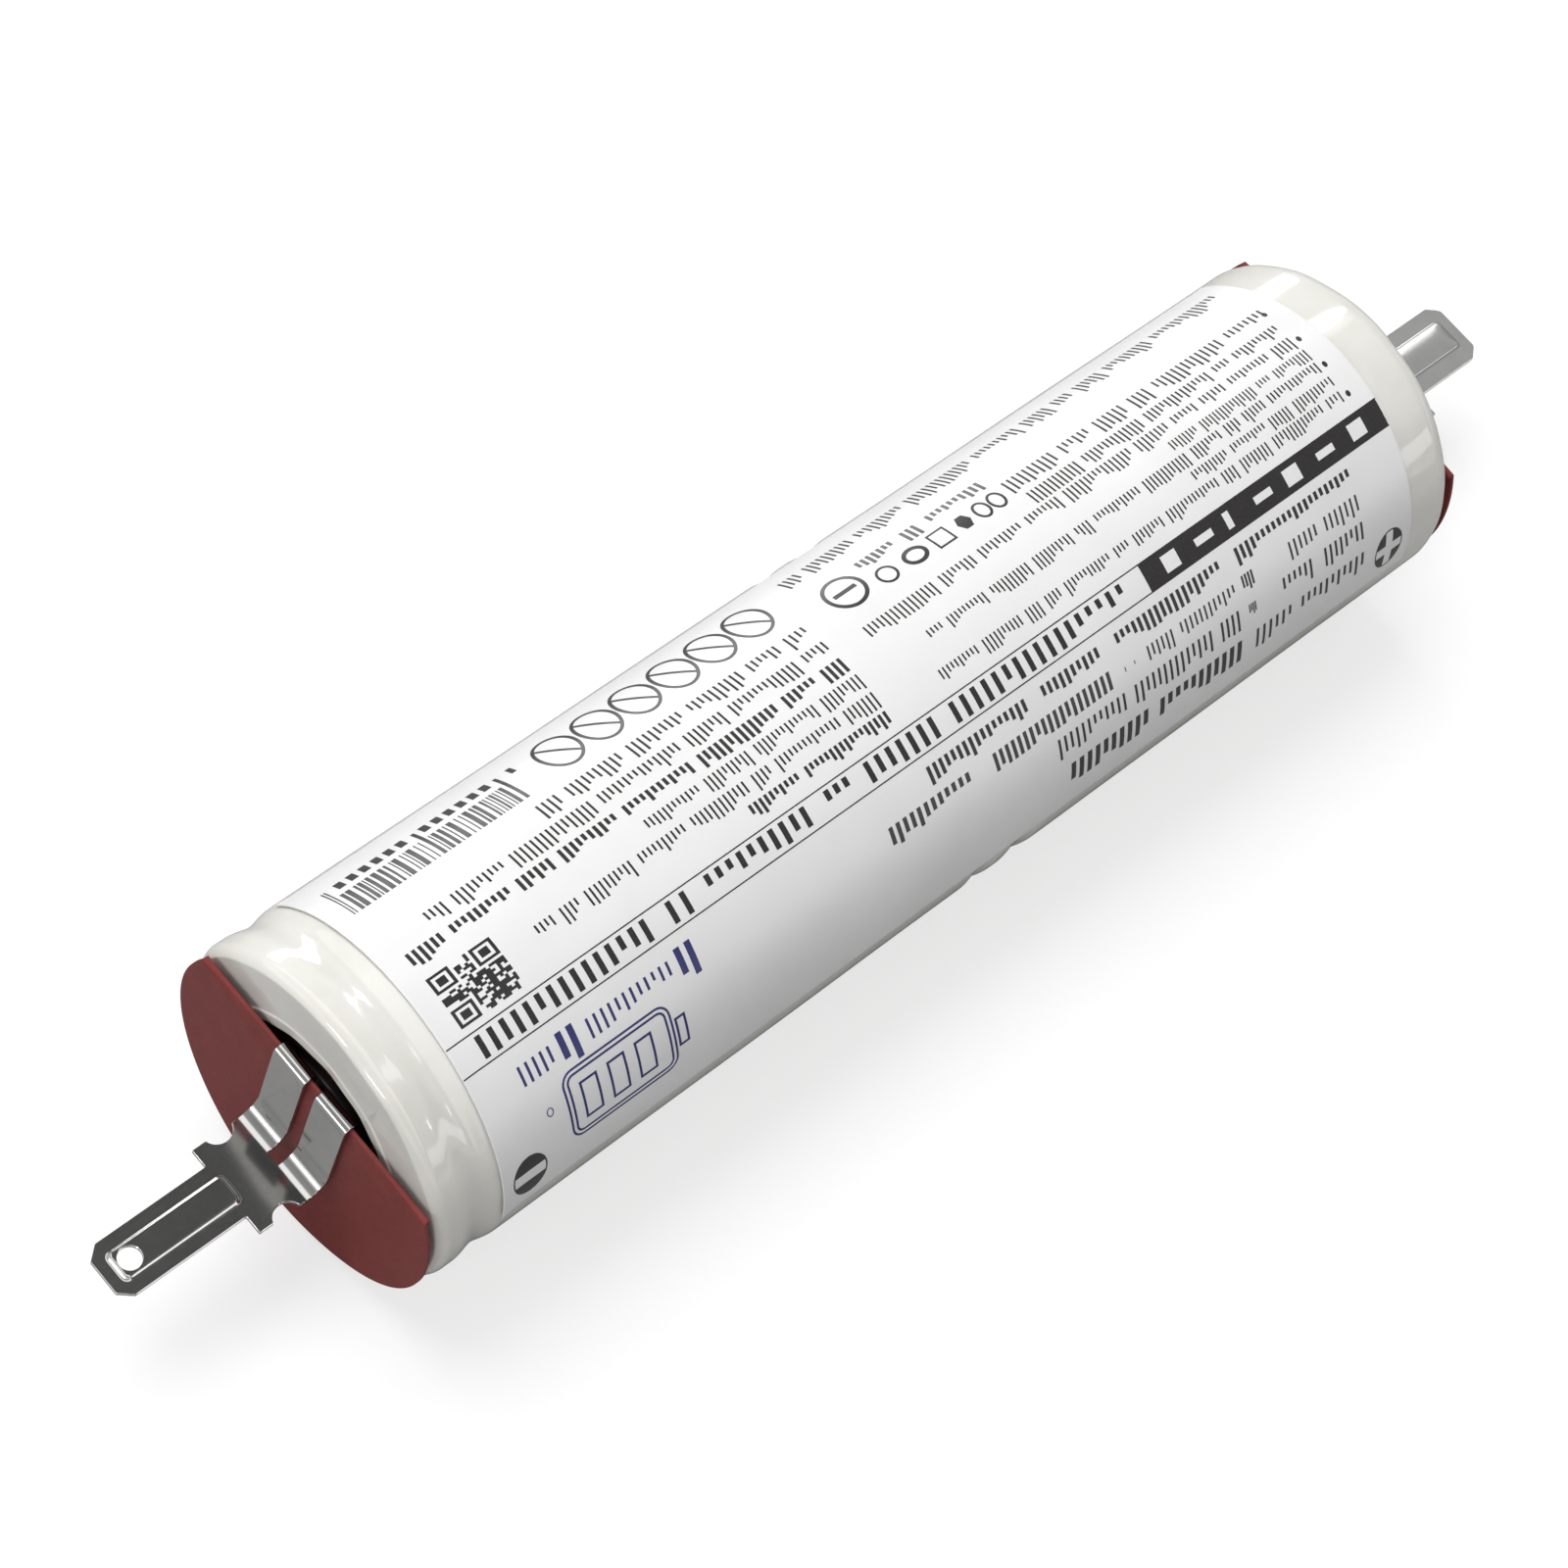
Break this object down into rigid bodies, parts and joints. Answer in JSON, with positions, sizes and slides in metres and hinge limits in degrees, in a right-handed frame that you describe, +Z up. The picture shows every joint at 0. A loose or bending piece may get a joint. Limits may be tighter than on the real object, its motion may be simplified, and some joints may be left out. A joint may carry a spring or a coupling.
{
  "type": "battery stick pack",
  "caption": "Cylindrical stick pack of nickel metal hydride cells end to end in a shrink sleeve, with folded fibre end insulators and blade terminals of unequal width.",
  "frame": {"origin": "on the pack's axis, midway between the two ends of the outer sleeve", "axes": "+X along the pack's axis towards the wide blade (the plus end); +Z up, normal to both blades and on the side of the pack that carries the label; +Y completes the right-handed frame"},
  "size_m": [0.116, 0.0229, 0.0229],
  "materials": {
    "can_steel": "nickel-plated deep-drawn steel",
    "nylon": "natural nylon",
    "nickel_plate": "nickel-plated, satin",
    "vent_rubber": "black EPDM rubber",
    "spring_steel": "bright spring wire",
    "red_fibre": "vulcanised fibre sheet, dark red, satin",
    "positive_paste": "nickel hydroxide on foam, dark grey green",
    "negative_alloy": "metal hydride alloy on perforated strip, dark grey",
    "separator_felt": "white non-woven felt",
    "cell_film": "thin shrink film",
    "terminal_nickel": "nickel-plated steel strip, bright with a fine rolled grain",
    "sleeve_film": "glossy off-white shrink sleeve",
    "label_sheet": "satin white printed label film"
  },
  "bodies": {
    "root": {"near_can": "can_steel", "near_gasket": "nylon", "near_lid": "nickel_plate", "near_cap": "nickel_plate", "near_vent_spring": "spring_steel", "near_top_washer": "red_fibre", "near_upper_collector": "nickel_plate", "near_lower_collector": "nickel_plate", "near_insulating_ring": "nylon", "near_positive_electrode": "positive_paste", "near_negative_electrode": "negative_alloy", "near_separator": "separator_felt", "near_cell_film": "cell_film", "far_can": "can_steel", "far_gasket": "nylon", "far_lid": "nickel_plate", "far_cap": "nickel_plate", "far_vent_spring": "spring_steel", "far_top_washer": "red_fibre", "far_upper_collector": "nickel_plate", "far_lower_collector": "nickel_plate", "far_insulating_ring": "nylon", "far_positive_electrode": "positive_paste", "far_negative_electrode": "negative_alloy", "far_separator": "separator_felt", "far_cell_film": "cell_film", "cell_link": "nickel_plate", "cell_spacer_ring": "red_fibre", "near_terminal": "terminal_nickel", "far_terminal": "terminal_nickel", "near_fibre_insulator": "red_fibre", "far_fibre_insulator": "red_fibre", "outer_sleeve": "sleeve_film", "label": "label_sheet"},
    "near_vent": {"near_vent_seal": "vent_rubber", "near_vent_plate": "can_steel"},
    "far_vent": {"far_vent_seal": "vent_rubber", "far_vent_plate": "can_steel"}
  },
  "joints": [
    {"name": "near_vent_lift", "type": "slide", "parent": "root", "child": "near_vent", "axis": [-1, 0, 0], "range_m": [0, 0.0005], "stiffness_N_per_m": 8000, "springref_m": -0.001, "deforming": ["near_vent_spring"]},
    {"name": "far_vent_lift", "type": "slide", "parent": "root", "child": "far_vent", "axis": [-1, 0, 0], "range_m": [0, 0.0005], "stiffness_N_per_m": 8000, "springref_m": -0.001, "deforming": ["far_vent_spring"]}
  ]
}
